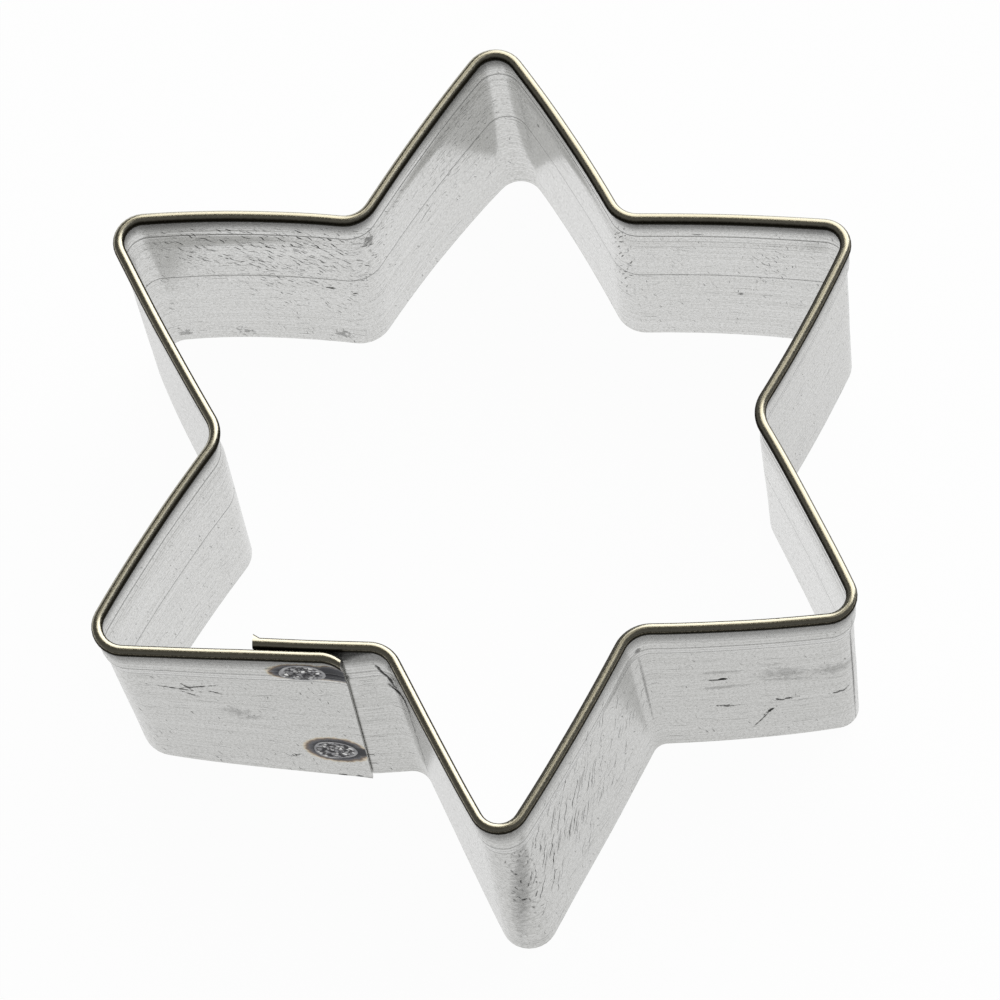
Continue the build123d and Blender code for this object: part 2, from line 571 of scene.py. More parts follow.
# %% Running a tree on an object
def run_tree(piece, tree, values):
    """Gives the piece a tree's result as its own plain mesh."""
    modifier = piece.modifiers.new("shape", "NODES")
    modifier.node_group = tree
    for item in tree.interface.items_tree:
        if item.in_out == "INPUT" and item.name in values:
            modifier[item.identifier] = values[item.name]
    graph = bpy.context.evaluated_depsgraph_get()
    made = bpy.data.meshes.new_from_object(piece.evaluated_get(graph), depsgraph=graph)
    piece.modifiers.remove(modifier)
    piece.data = made
    made.name = piece.name
    return piece


# %% The cut ends, and their material's place in the strip's list
CUT_METAL = 1


def close_ends(mesh):
    """Fills the two cut ends of the strip and turns every face outwards."""
    work = bmesh.new()
    work.from_mesh(mesh)
    open_edges = [edge for edge in work.edges if edge.is_boundary]
    filled = bmesh.ops.holes_fill(work, edges=open_edges, sides=0)["faces"]
    cut_faces = bmesh.ops.triangulate(work, faces=filled)["faces"]
    for face in cut_faces:
        face.material_index = CUT_METAL
    bmesh.ops.recalc_face_normals(work, faces=work.faces)
    open_edges = [edge for edge in work.edges if not edge.is_manifold]
    print("strip faces:", len(work.faces), "open edges:", len(open_edges))
    print("volume in mm3:", round(work.calc_volume() / MM ** 3, 1))
    work.to_mesh(mesh)
    work.free()


def new_piece(name, mesh):
    """An object in the scene for a mesh."""
    piece = bpy.data.objects.new(name, mesh)
    scene.collection.objects.link(piece)
    return piece


# %% [markdown]
# The shear left a small burr on the curl's inner end: a lip of tin that points into the
# star. It is only a third of a millimetre, so the end's own points are pulled out.

# %% The burr
burr_length = 0.30
burr_angles = (math.radians(115), math.radians(205))
burr_inside = 0.9 * bead_radius
end_depth = 0.1
end_reach = 2.0


def pull_burr(mesh):
    """Pulls the curl's upper inside edge out at the strip's inner end."""
    start = bead_route[0]
    travel = (bead_route[1] - start).normalized()
    out = outward_from(travel)
    pulled = 0
    for vertex in mesh.vertices:
        place = vertex.co / MM
        off = place.xy - start
        depth, height = off.dot(out) - bead_radius, place.z - bead_middle_height
        turn = math.atan2(height, depth) % (2 * math.pi)
        on_end = off.dot(travel) < end_depth and off.length < end_reach
        on_skin = math.hypot(depth, height) > burr_inside
        if on_end and on_skin and burr_angles[0] < turn < burr_angles[1]:
            vertex.co -= (out * burr_length * MM).to_3d()
            pulled += 1
    print("points pulled out for the burr:", pulled)


# %% [markdown]
# ## Finishes that follow the strip
#
# All marks on the metal lie on the flat strip: the rolls drew the grain along it, the
# bender scuffed it, the welder tinted it. So the patterns don't use the position in
# space. They use the strip's own map: millimetres along the run, and millimetres across
# it, round the section. Each kind of mark is one node group, used with different values.


# %% The flat strip's map, in millimetres
def strip_place(tree):
    """The place on the flat strip in a material: X is the run and Y the width."""
    flat = add_node(tree, "ShaderNodeUVMap", uv_map="strip").outputs["UV"]
    return vector_maths(tree, "MULTIPLY", flat, (strip_length, strip_width, 0.0))


def use_group(tree, group, values):
    """A node group placed in a material's tree."""
    return add_node(tree, "ShaderNodeGroup", values, node_tree=group)


# %% Rolled grain: fine streaks, and broad ones stretched by these shares
broad_stretch = (0.3, 0.2, 1.0)
fine_share = 0.75
broad_share = 0.25


def rolled_grain_group():
    """Fine streaks along the strip, and a fine mottle, each from 0 to 1."""
    tree, given, result = new_tree(
        "rolled_grain",
        "ShaderNodeTree",
        {
            "Place": "Vector",
            "Streak length": 6.0,
            "Streak width": 0.12,
            "Mottle size": 0.3,
        },
        {"Streaks": "Float", "Mottle": "Float"},
    )
    place = given.outputs["Place"]
    values = {0: given.outputs["Streak length"], 1: given.outputs["Streak width"], 2: 1.0}
    streak = add_node(tree, "ShaderNodeCombineXYZ", values).outputs[0]
    drawn = vector_maths(tree, "DIVIDE", place, streak)
    fine = noise_value(tree, drawn, 1.0, 3.0)
    fine = maths(tree, "MULTIPLY", fine, fine_share)
    broad = noise_value(tree, vector_maths(tree, "MULTIPLY", drawn, broad_stretch), 1.0, 2.0)
    broad = maths(tree, "MULTIPLY", broad, broad_share)
    streaks = maths(tree, "ADD", fine, broad)
    speck = maths(tree, "DIVIDE", 1.0, given.outputs["Mottle size"])
    mottle = noise_value(tree, place, speck, 3.0)
    tree.links.new(streaks, result.inputs["Streaks"])
    tree.links.new(mottle, result.inputs["Mottle"])
    return tree


rolled_grain = rolled_grain_group()


# %% Scuffs: the height of a row in stroke widths, and where in its cell a stroke fades
row_share = 5.0
stroke_ends = (0.15, 0.42)
stroke_sides = (0.04, 0.13)
faintest_stroke = 0.3


def scuffs_group():
    """Short strokes, one at most in each cell of a stretched grid, all at one angle."""
    tree, given, result = new_tree(
        "scuffs",
        "ShaderNodeTree",
        {
            "Place": "Vector",
            "Angle": 0.0,
            "Stroke length": 1.5,
            "Stroke width": 0.06,
            "Share of cells": 0.5,
        },
        {"Scuffs": "Float"},
    )
    length, width = given.outputs["Stroke length"], given.outputs["Stroke width"]
    values = {"Vector": given.outputs["Place"], "Angle": given.outputs["Angle"]}
    place = add_node(tree, "ShaderNodeVectorRotate", values, rotation_type="Z_AXIS").outputs[0]
    row_height = maths(tree, "MULTIPLY", width, row_share)
    cell = add_node(tree, "ShaderNodeCombineXYZ", {0: length, 1: row_height, 2: 1.0}).outputs[0]
    place = vector_maths(tree, "DIVIDE", place, cell)
    values = {"Vector": place, "Scale": 1.0}
    cells = add_node(tree, "ShaderNodeTexVoronoi", values, voronoi_dimensions="2D")
    off = vector_maths(tree, "SUBTRACT", place, cells.outputs["Position"])
    off = add_node(tree, "ShaderNodeSeparateXYZ", {0: off})
    along = maths(tree, "ABSOLUTE", off.outputs["X"])
    across = maths(tree, "ABSOLUTE", off.outputs["Y"])
    ends = ramp_value(tree, along, *stroke_ends, 1.0, 0.0)
    sides = ramp_value(tree, across, *stroke_sides, 1.0, 0.0)
    chance = add_node(tree, "ShaderNodeSeparateColor", {0: cells.outputs["Color"]})
    there = maths(tree, "LESS_THAN", chance.outputs[0], given.outputs["Share of cells"])
    depth = ramp_value(tree, chance.outputs[1], 0.0, 1.0, faintest_stroke, 1.0)
    shape = maths(tree, "MULTIPLY", ends, sides)
    stroke = maths(tree, "MULTIPLY", shape, maths(tree, "MULTIPLY", there, depth))
    tree.links.new(stroke, result.inputs["Scuffs"])
    return tree


scuffs = scuffs_group()


# %% A mark at one place
def mark_group():
    """A ragged oval at one place on the strip: 1 inside it and 0 outside."""
    tree, given, result = new_tree(
        "mark",
        "ShaderNodeTree",
        {
            "Place": "Vector",
            "Middle": "Vector",
            "Half size": "Vector",
            "Angle": 0.0,
            "Softness": 0.3,
            "Raggedness": 0.3,
            "Noise": 0.0,
        },
        {"Mark": "Float", "Distance": "Float"},
    )
    off = vector_maths(tree, "SUBTRACT", given.outputs["Place"], given.outputs["Middle"])
    values = {"Vector": off, "Angle": given.outputs["Angle"]}
    off = add_node(tree, "ShaderNodeVectorRotate", values, rotation_type="Z_AXIS").outputs[0]
    off = vector_maths(tree, "DIVIDE", off, given.outputs["Half size"])
    distance = vector_maths(tree, "LENGTH", off, output=1)
    ragged = maths(tree, "MULTIPLY", given.outputs["Noise"], given.outputs["Raggedness"])
    distance = maths(tree, "ADD", distance, ragged)
    inner = maths(tree, "SUBTRACT", 1.0, given.outputs["Softness"])
    outer = maths(tree, "ADD", 1.0, given.outputs["Softness"])
    mark = ramp_value(tree, distance, inner, outer, 1.0, 0.0)
    tree.links.new(mark, result.inputs["Mark"])
    tree.links.new(distance, result.inputs["Distance"])
    return tree


mark = mark_group()

# %% [markdown]
# ## Tinplate
#
# Tinplate is rolled steel with a thin coat of tin. It is bright but not a mirror: the
# rolls leave a fine grain along the strip. The rim is another matter: it is a smooth,
# olive metal whose tone follows the way round it. Painted shade darkens it down its two
# flanks, and a painted highlight band lightens it each side of its top. One Principled
# BSDF does it all. It is metallic, except where grime, weld scale and painted shade, under
# the rim and down its flanks, hide the metal: metal is never quite black, so there the
# Metallic falls, and the gloss of the bare shader is turned off.

# %% Values of the walls
wall_colour = (0.70, 0.70, 0.69, 1)
worn_colour = (0.52, 0.52, 0.505, 1)
speck_colour = (0.26, 0.255, 0.24, 1)
# The grime colour also paints the shade on the wall just under the rim
grime_and_shade_colour = (0.035, 0.034, 0.032, 1)
grime_gloss = 0.0
handled_colour = (0.86, 0.86, 0.855, 1)
outside_width = 24.5
wall_grain = {"Streak length": 14.0, "Streak width": 0.11, "Mottle size": 0.24}
streak_share = 0.55
mottle_share = 0.45
worn_range = (0.38, 0.66)
speck_scale = 9.0
speck_range = (0.57, 0.72)
ragged_scale = 2.2
ragged_strength = 3.0
wander_scale = 0.8
wander_reach = (0.8, 0.8, 0.0)
mottle_range = (0.3, 0.7)
wall_roughness = (0.15, 0.28)
damage_roughness = 0.15
wall_relief = 0.5

# %% Values of the rim; the stops follow the way round it, from 0 at its top, and paint shade down its flanks and a highlight band each side of its top
# The dark stops from 0.30 on are painted shade, and the light stop at 0.20 is a painted highlight
bead_tint_and_light_stops = [
    (0.0, (0.34, 0.31, 0.22, 1)),
    (0.10, (0.42, 0.39, 0.30, 1)),
    (0.20, (0.54, 0.515, 0.42, 1)),
    (0.25, (0.34, 0.32, 0.25, 1)),
    (0.30, (0.09, 0.08, 0.06, 1)),
    (0.36, (0.02, 0.018, 0.012, 1)),
]
bead_edge_angle = 2.45
bead_edge_blend = 0.3
bead_grain_values = {"Streak length": 1.2, "Streak width": 0.10, "Mottle size": 0.22}
uneven_share = 0.3
flank_range = (0.27, 0.37)
flank_share = 0.8
bead_roughness = (0.20, 0.30)
bead_relief = 0.12

# %% Marks seen on the cutter
# Each line: run and width of the middle, half length and half width in millimetres, angle
# in degrees, softness, raggedness and depth
stains = [
    ((169.65, 1.4), (0.45, 0.35), 0, 0.5, 2.2, 0.28),
    ((164.1, 1.3), (0.45, 0.45), 0, 0.5, 2.2, 0.30),
    ((155.2, 1.5), (0.65, 0.45), 0, 0.5, 2.2, 0.32),
    ((155.7, 9.9), (0.35, 0.14), 0, 0.4, 0.8, 0.85),
    ((153.7, 9.2), (0.2, 0.12), 0, 0.4, 0.8, 0.75),
    ((151.9, 17.3), (0.4, 0.65), 0, 0.6, 2.0, 0.42),
    ((54.75, 34.35), (0.30, 0.17), 0, 0.3, 0.7, 1.00),
    ((54.2, 34.5), (0.75, 0.09), 0, 0.4, 0.7, 0.80),
    ((54.6, 33.1), (1.3, 0.24), 0, 0.6, 1.0, 0.20),
    ((54.5, 35.9), (1.3, 0.24), 0, 0.6, 1.0, 0.20),
    ((59.5, 34.0), (1.5, 0.8), 0, 0.8, 1.2, 0.20),
    ((59.6, 35.2), (1.6, 0.25), 8, 0.8, 1.2, 0.18),
    ((63.4, 34.3), (1.3, 0.7), 0, 0.8, 1.2, 0.18),
    ((58.1, 41.1), (0.7, 0.13), -55, 0.4, 1.2, 0.90),
    ((57.5, 42.3), (1.5, 0.07), -62, 0.4, 1.0, 0.60),
    ((54.9, 39.5), (0.55, 0.12), 4, 0.5, 3.0, 0.60),
    ((59.3, 39.1), (0.55, 0.15), -6, 0.5, 3.0, 0.70),
    ((63.8, 38.9), (0.50, 0.13), -4, 0.5, 3.0, 0.60),
    ((64.9, 36.2), (0.09, 8.6), 0, 0.6, 0.5, 0.50),
    ((47.9, 27.4), (0.35, 0.35), 0, 0.5, 0.8, 0.45),
    ((47.95, 34.4), (0.16, 4.8), 0, 0.8, 0.8, 0.32),
    ((214.9, 31.6), (1.5, 0.09), 12, 0.5, 1.4, 0.70),
    ((216.9, 31.0), (1.2, 0.09), -18, 0.5, 1.4, 0.75),
    ((216.0, 32.6), (0.7, 0.10), 35, 0.5, 1.4, 0.65),
    ((218.0, 31.9), (0.6, 0.10), 25, 0.5, 1.4, 0.65),
    ((215.9, 31.2), (0.5, 0.12), 60, 0.5, 1.4, 0.60),
    ((219.3, 35.4), (0.9, 0.6), 20, 0.9, 1.6, 0.18),
    ((220.3, 36.4), (0.7, 0.3), -20, 0.9, 1.6, 0.16),
    ((223.0, 43.0), (0.38, 0.15), -20, 0.5, 2.2, 0.75),
    ((226.6, 45.95), (0.3, 0.14), 0, 0.5, 1.4, 0.60),
    ((228.0, 45.95), (0.3, 0.14), 0, 0.5, 1.4, 0.50),
    ((28.95, 37.3), (0.16, 0.16), 0, 0.4, 0.6, 0.80),
    ((29.0, 35.0), (0.45, 6.5), 5, 0.8, 0.8, 0.28),
    ((130.8, 15.3), (0.10, 0.22), 0, 0.4, 0.5, 0.70),
    ((144.7, 9.8), (1.1, 0.06), -15, 0.6, 0.5, 0.45),
    ((111.1, 18.8), (0.35, 0.07), 0, 0.5, 0.5, 0.80),
    ((107.9, 8.0), (0.18, 0.10), 0, 0.5, 0.8, 0.70),
    ((10.3, 28.8), (2.1, 0.20), 74, 0.5, 0.7, 0.85),
    ((11.2, 31.2), (1.3, 0.30), 40, 0.5, 0.7, 0.90),
    ((11.8, 32.5), (1.0, 0.20), 75, 0.5, 0.7, 0.80),
    ((11.95, 37.2), (4.8, 0.10), 88, 0.7, 1.4, 0.50),
    ((223.2, 26.5), (0.35, 0.09), 0, 0.5, 0.6, 0.60),
]
# Patches of short strokes: middle, half size, angle of the strokes in degrees, stroke
# length and width, share of cells and depth
scuff_patches = [
    ((159.5, 17.0), (9.5, 4.2), 42, 1.1, 0.12, 0.75, 0.90),
    ((158.5, 14.5), (8.0, 4.5), 30, 0.7, 0.11, 0.60, 0.75),
    ((157.0, 9.5), (6.5, 5.0), 40, 0.8, 0.10, 0.35, 0.60),
    ((140.0, 14.0), (4.5, 5.5), 8, 0.9, 0.10, 0.60, 0.50),
    ((34.5, 35.0), (5.5, 7.0), -64, 3.8, 0.12, 0.70, 0.85),
    ((39.5, 34.0), (8.0, 8.0), -60, 2.4, 0.10, 0.35, 0.60),
    ((117.4, 13.5), (0.9, 6.5), -60, 0.8, 0.11, 0.85, 0.90),
    ((105.5, 14.0), (1.4, 3.5), 60, 0.8, 0.09, 0.60, 0.60),
    ((29.3, 35.0), (1.0, 6.0), 80, 0.8, 0.11, 0.80, 0.75),
]
# Strokes all over the strip: angle, length, width, share of cells and depth
stray_strokes = [
    (3, 2.4, 0.08, 0.16, 0.32),
    (70, 0.7, 0.09, 0.08, 0.40),
]
# Roll lines all round the star: width, half width and depth
roll_lines = [
    (0.03, 0.05, 0.40),
    (11.45, 0.075, 0.66),
    (16.9, 0.05, 0.22),
    (17.7, 0.05, 0.25),
    (18.5, 0.08, 0.55),
    (19.5, 0.05, 0.30),
    (26.6, 0.06, 0.25),
    (27.75, 0.09, 0.40),
    (28.35, 0.07, 0.30),
    (28.95, 0.08, 0.50),
    (46.22, 0.08, 0.80),
]
line_edge = (0.4, 1.3)
broken_range = (0.25, 0.6)
faintest_line = 0.55
# Painted shade on the wall just under the rim, inside and outside: its low and high width, its
# depth at each
under_rim_shade_bands = [
    (18.9, 20.9, 0.0, 0.60),
    (25.2, 27.0, 0.40, 0.0),
]
under_rim_shade_reach = 2.0
patch_softness = 0.4
patch_raggedness = 0.5

# %% Tinplate
tinplate, tin_tree, shader = new_material("tinplate")
shader.inputs["Specular IOR Level"].default_value = grime_gloss
place = strip_place(tin_tree)
width_place = add_node(tin_tree, "ShaderNodeSeparateXYZ", {0: place}).outputs["Y"]
MIX_SHARE, MIX_FIRST, MIX_SECOND, MIX_RESULT = 0, 6, 7, 2


def blend_colour(tree, share, first, second, kind="MIX"):
    """Two colours mixed by a share."""
    values = {MIX_SHARE: share, MIX_FIRST: first, MIX_SECOND: second}
    node = add_node(tree, "ShaderNodeMix", values, data_type="RGBA", blend_type=kind)
    return node.outputs[MIX_RESULT]


def colour_ramp(tree, value, stops):
    """A value turned into a colour by stops of position and colour."""
    node = add_node(tree, "ShaderNodeValToRGB", {0: value})
    ramp = node.color_ramp
    while len(ramp.elements) < len(stops):
        ramp.elements.new(1.0)
    for element, (position, colour) in zip(ramp.elements, stops):
        element.position = position
        element.color = colour
    return node.outputs["Color"]


def finish_metal(tree, shader, colour, rough, relief, strength, distance):
    """Links a metal's colour, its roughness and, through a Bump node, its relief."""
    values = {"Strength": strength, "Distance": distance * MM, "Height": relief}
    bump = add_node(tree, "ShaderNodeBump", values)
    tree.links.new(colour, shader.inputs["Base Color"])
    tree.links.new(rough, shader.inputs["Roughness"])
    tree.links.new(bump.outputs["Normal"], shader.inputs["Normal"])


# %% Short forms for the tinplate's tree
tin_maths = partial(maths, tin_tree)
tin_ramp = partial(ramp_value, tin_tree)
tin_blend = partial(blend_colour, tin_tree)
tin_noise = partial(noise_value, tin_tree)
tin_vectors = partial(vector_maths, tin_tree)

# %% Grain of the walls
grain = use_group(tin_tree, rolled_grain, {"Place": place, **wall_grain})
streaks, mottle = grain.outputs["Streaks"], grain.outputs["Mottle"]
worn = tin_maths("MULTIPLY", streaks, streak_share)
worn = tin_maths("ADD", worn, tin_maths("MULTIPLY", mottle, mottle_share))
worn = tin_ramp(worn, *worn_range)
colour = tin_blend(worn, wall_colour, worn_colour)
specks = tin_ramp(tin_noise(place, speck_scale, 2.0), *speck_range)
colour = tin_blend(specks, colour, speck_colour)
handled = tin_blend(1.0, colour, handled_colour, "MULTIPLY")
outside = tin_maths("GREATER_THAN", width_place, outside_width)
colour = tin_blend(outside, colour, handled)

# %% One noise makes the marks' edges ragged, and another bends the strokes
ragged = tin_maths("SUBTRACT", tin_noise(place, ragged_scale, 3.0), 0.5)
ragged = tin_maths("MULTIPLY", ragged, ragged_strength)
wander = tin_noise(place, wander_scale, 1.0, "Color")
wander = tin_vectors("SUBTRACT", wander, (0.5, 0.5, 0.5))
wander = tin_vectors("MULTIPLY", wander, wander_reach)
bent_place = tin_vectors("ADD", place, wander)


def mark_at(middle, half_size, angle, softness, raggedness, output="Mark"):
    """A mark on the tinplate, from sizes in millimetres and an angle in degrees."""
    values = {
        "Place": place,
        "Middle": (*middle, 0.0),
        "Half size": (*half_size, 1.0),
        "Angle": math.radians(-angle),
        "Softness": softness,
        "Raggedness": raggedness,
        "Noise": ragged,
    }
    return use_group(tin_tree, mark, values).outputs[output]


def strokes_at(angle, length, width, share):
    """Strokes over the whole strip at one angle in degrees."""
    values = {
        "Place": bent_place,
        "Angle": math.radians(-angle),
        "Stroke length": length,
        "Stroke width": width,
        "Share of cells": share,
    }
    return use_group(tin_tree, scuffs, values).outputs["Scuffs"]


def deepened(damage_and_shade, mask, depth):
    """The damage and painted shade so far, or a new mark of this depth where that is deeper."""
    return tin_maths("MAXIMUM", damage_and_shade, tin_maths("MULTIPLY", mask, depth))


# %% Stains and scuffs of the walls
damage_and_shade = 0.0
for middle, half_size, angle, softness, raggedness, depth in stains:
    damage_and_shade = deepened(damage_and_shade, mark_at(middle, half_size, angle, softness, raggedness), depth)
for middle, half_size, angle, length, width, share, depth in scuff_patches:
    patch = mark_at(middle, half_size, 0, patch_softness, patch_raggedness)
    strokes = tin_maths("MULTIPLY", strokes_at(angle, length, width, share), patch)
    damage_and_shade = deepened(damage_and_shade, strokes, depth)
for angle, length, width, share, depth in stray_strokes:
    damage_and_shade = deepened(damage_and_shade, strokes_at(angle, length, width, share), depth)

# %% Roll lines, broken by the mottle, and painted shade on the wall just under the rim
broken = tin_ramp(mottle, *broken_range, 1.0, faintest_line)
for width, half_width, depth in roll_lines:
    off = tin_maths("ABSOLUTE", tin_maths("SUBTRACT", width_place, width))
    near, far = (half_width * share for share in line_edge)
    line = tin_ramp(off, near, far, 1.0, 0.0)
    damage_and_shade = deepened(damage_and_shade, tin_maths("MULTIPLY", line, broken), depth)
# The shade under the rim is painted into the wall's colour as a dark band
for low, high, low_depth, high_depth in under_rim_shade_bands:
    under_rim_shade = tin_ramp(width_place, low, high, low_depth, high_depth)
    same_side = tin_maths("COMPARE", width_place, (low + high) / 2, under_rim_shade_reach)
    damage_and_shade = deepened(damage_and_shade, under_rim_shade, same_side)
colour = tin_blend(damage_and_shade, colour, grime_and_shade_colour)

# %% Heat tint round the welds
tint_reach = 1.5
tint_stops = [
    (0.0, (0.03, 0.03, 0.034, 1)),
    (0.45, (0.045, 0.046, 0.054, 1)),
    (0.60, (0.085, 0.085, 0.095, 1)),
    (0.67, (0.12, 0.085, 0.06, 1)),
    (0.73, (0.52, 0.43, 0.32, 1)),
    (0.84, (0.78, 0.75, 0.70, 1)),
]
# Middle in run and width, half size, angle and strength of each tinted halo: the two on
# the outside of the lap, each from two ovals, then the fainter two on its inside
halos = [
    ((225.7, 27.0), (2.55, 1.45), 0, 1.0),
    ((228.0, 27.0), (1.7, 1.35), 0, 1.0),
    ((226.6, 41.4), (2.45, 2.0), 4, 1.0),
    ((228.1, 41.4), (1.5, 0.9), 0, 1.0),
    ((3.8, 18.6), (1.9, 1.6), 0, 0.7),
    ((4.7, 4.6), (2.0, 1.7), 0, 0.7),
]
halo_softness = 0.3
halo_raggedness = 0.09
halo_edge = (1.02, 1.35)
scale_edge = (0.75, 1.0)
scale_share = 0.5
scale = damage_and_shade
for middle, half_size, angle, strength in halos:
    softness = (halo_softness, halo_raggedness)
    distance = mark_at(middle, half_size, angle, *softness, "Distance")
    tint = colour_ramp(tin_tree, tin_maths("DIVIDE", distance, tint_reach), tint_stops)
    tinted = tin_blend(1.0, colour, tint, "DARKEN")
    amount = tin_ramp(distance, *halo_edge, strength, 0.0)
    colour = tin_blend(amount, colour, tinted)
    core = tin_ramp(distance, *scale_edge, scale_share * strength, 0.0)
    scale = tin_maths("MAXIMUM", scale, core)

# %% The rim's olive colour, with painted shade down its flanks and a painted highlight band
round_bead = tin_maths("SUBTRACT", width_place, bead_top_width)
round_bead = tin_maths("DIVIDE", tin_maths("ABSOLUTE", round_bead), bead_radius)
bead_grain = use_group(tin_tree, rolled_grain, {"Place": place, **bead_grain_values})
bead_mottle = bead_grain.outputs["Mottle"]
uneven = tin_maths("MULTIPLY", tin_maths("SUBTRACT", bead_mottle, 0.5), uneven_share)
bead_turn = tin_maths("DIVIDE", tin_maths("ADD", round_bead, uneven), math.pi)
# Painted shade and a painted highlight band, set by the angle round the curl
bead_tint_and_painted_light = colour_ramp(tin_tree, bead_turn, bead_tint_and_light_stops)
bead_edge = (bead_edge_angle, bead_edge_angle + bead_edge_blend)
on_rim = tin_ramp(round_bead, *bead_edge, 1.0, 0.0)
colour = tin_blend(on_rim, colour, bead_tint_and_painted_light)

# %% Grime, weld scale and the painted shade under the rim and down its flanks aren't bare metal
# The flanks, where shade is painted, lose most of their metal so that they stay dark
flank = tin_ramp(bead_turn, *flank_range, 0.0, flank_share)
scale = tin_blend(on_rim, scale, flank)
metal_share = tin_maths("SUBTRACT", 1.0, scale, clamp=True)
tin_tree.links.new(metal_share, shader.inputs["Metallic"])

# %% Roughness and fine relief
rough = tin_ramp(mottle, *mottle_range, *wall_roughness)
rough = tin_maths("ADD", rough, tin_maths("MULTIPLY", damage_and_shade, damage_roughness))
rough = tin_maths("MULTIPLY", rough, tin_maths("SUBTRACT", 1.0, on_rim))
bead_rough = tin_ramp(bead_mottle, *mottle_range, *bead_roughness)
rough = tin_maths("ADD", rough, tin_maths("MULTIPLY", bead_rough, on_rim))
relief = tin_maths("SUBTRACT", tin_maths("ADD", streaks, mottle), 1.0)
relief_share = tin_ramp(on_rim, 0.0, 1.0, wall_relief, bead_relief)
relief = tin_maths("MULTIPLY", relief, relief_share)
finish_metal(tin_tree, shader, colour, rough, relief, strength=0.32, distance=0.03)

# %% [markdown]
# ## Cut metal
#
# The two ends of the strip were sheared, so their faces show bare steel, a little brown
# and rougher than the tin. Their colour is painted near black, darker than bare steel:
# partly the cut's own dull tone, partly painted shade for the dark gap beside the lapped
# end. It is a second material on the same mesh.

# %% Cut metal
cut_stretch = (9000.0, 9000.0, 1500.0)
# Near black stops: painted shade for the gap at the lapped end, over the steel's own tone
cut_tone_and_shade_stops = [(0.35, (0.02, 0.017, 0.015, 1)), (0.7, (0.09, 0.075, 0.065, 1))]
cut_roughness = (0.35, 0.6)

cut_metal, cut_tree, cut_shader = new_material("cut_metal")
cut_shader.inputs["Metallic"].default_value = 1.0
cut_place = add_node(cut_tree, "ShaderNodeTexCoord").outputs["Object"]
cut_place = vector_maths(cut_tree, "MULTIPLY", cut_place, cut_stretch)
sheared = noise_value(cut_tree, cut_place, 1.0, 2.0)
cut_colour_and_shade = colour_ramp(cut_tree, sheared, cut_tone_and_shade_stops)
cut_rough = ramp_value(cut_tree, sheared, *mottle_range, *cut_roughness)
finish_metal(cut_tree, cut_shader, cut_colour_and_shade, cut_rough, sheared, strength=0.4, distance=0.02)

# %% The strip
sharp_angle = math.radians(38)

section_piece = new_piece("strip_section", section_mesh())
strip = new_piece("tinplate_strip", route_mesh())
strip_values = {
    "Section": section_piece,
    "Step bottom": step_bottom * MM,
    "Bead bottom": bead_bottom * MM,
    "Waviness": 0.12 * MM,
    "Waves per metre": 110.0,
    "Metal": tinplate,
}
run_tree(strip, sweep_tree(), strip_values)
bpy.data.objects.remove(section_piece)
strip.data.materials.append(cut_metal)
close_ends(strip.data)
pull_burr(strip.data)
strip.data.shade_smooth()
strip.data.set_sharp_from_angle(angle=sharp_angle)
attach(strip, "root")
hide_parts("star_band")

# %% [markdown]
# ## The spot welds
#
# The welder's electrodes bit an oval through both layers. Their crossed cuts printed
# small facets on the soft hot metal, with dark cracks between them, and squeezed up a low
# lip round the edge. A disc would float or sink on this wavy wall, so each weld is a
# round net of points cast onto the strip itself, on the outside and on the inside, and
# then raised by the height of the print. The height of each point follows a cell
# pattern, and the same pattern is kept as attributes that colour the facets and cracks.

# %% Weld metal
facet_stops = [
    (0.0, (0.24, 0.24, 0.25, 1)),
    (0.6, (0.42, 0.42, 0.42, 1)),
    (1.0, (0.85, 0.85, 0.84, 1)),
]
crack_colour = (0.05, 0.048, 0.05, 1)
crack_range = (0.5, 1.0)
soot_scale = 2500.0
soot_share = 0.5
weld_roughness = (0.28, 0.48)

weld_metal, weld_tree, weld_shader = new_material("weld_metal")
weld_shader.inputs["Metallic"].default_value = 1.0
crack = add_node(weld_tree, "ShaderNodeAttribute", attribute_name="crack").outputs["Fac"]
facet = add_node(weld_tree, "ShaderNodeAttribute", attribute_name="facet").outputs["Fac"]
weld_place = add_node(weld_tree, "ShaderNodeTexCoord").outputs["Object"]
soot = noise_value(weld_tree, weld_place, soot_scale, 3.0)
sooty = maths(weld_tree, "ADD", crack, maths(weld_tree, "MULTIPLY", soot, soot_share))
crack_share = ramp_value(weld_tree, sooty, *crack_range)
facet_colour = colour_ramp(weld_tree, facet, facet_stops)
weld_colour = blend_colour(weld_tree, crack_share, facet_colour, crack_colour)
weld_rough = ramp_value(weld_tree, soot, *mottle_range, *weld_roughness)
finish_metal(weld_tree, weld_shader, weld_colour, weld_rough, soot, strength=0.4, distance=0.02)

# %% Sizes of the print, in millimetres
print_cell = 0.32
print_relief = 0.04
print_base = 0.015
crack_width = (0.03, 0.24)
facet_spread = 7.3
swells_per_mm = 0.9
lip_height = 0.04
lip_place = (0.80, 0.92)
lip_tone = 0.30
lip_swell = 0.8
tuck_place = (0.94, 1.0)
tucked_in = -0.05
weld_rings = 30
weld_spokes = 96
wobble = 0.035
wobble_waves = 3
cast_from = 4.0


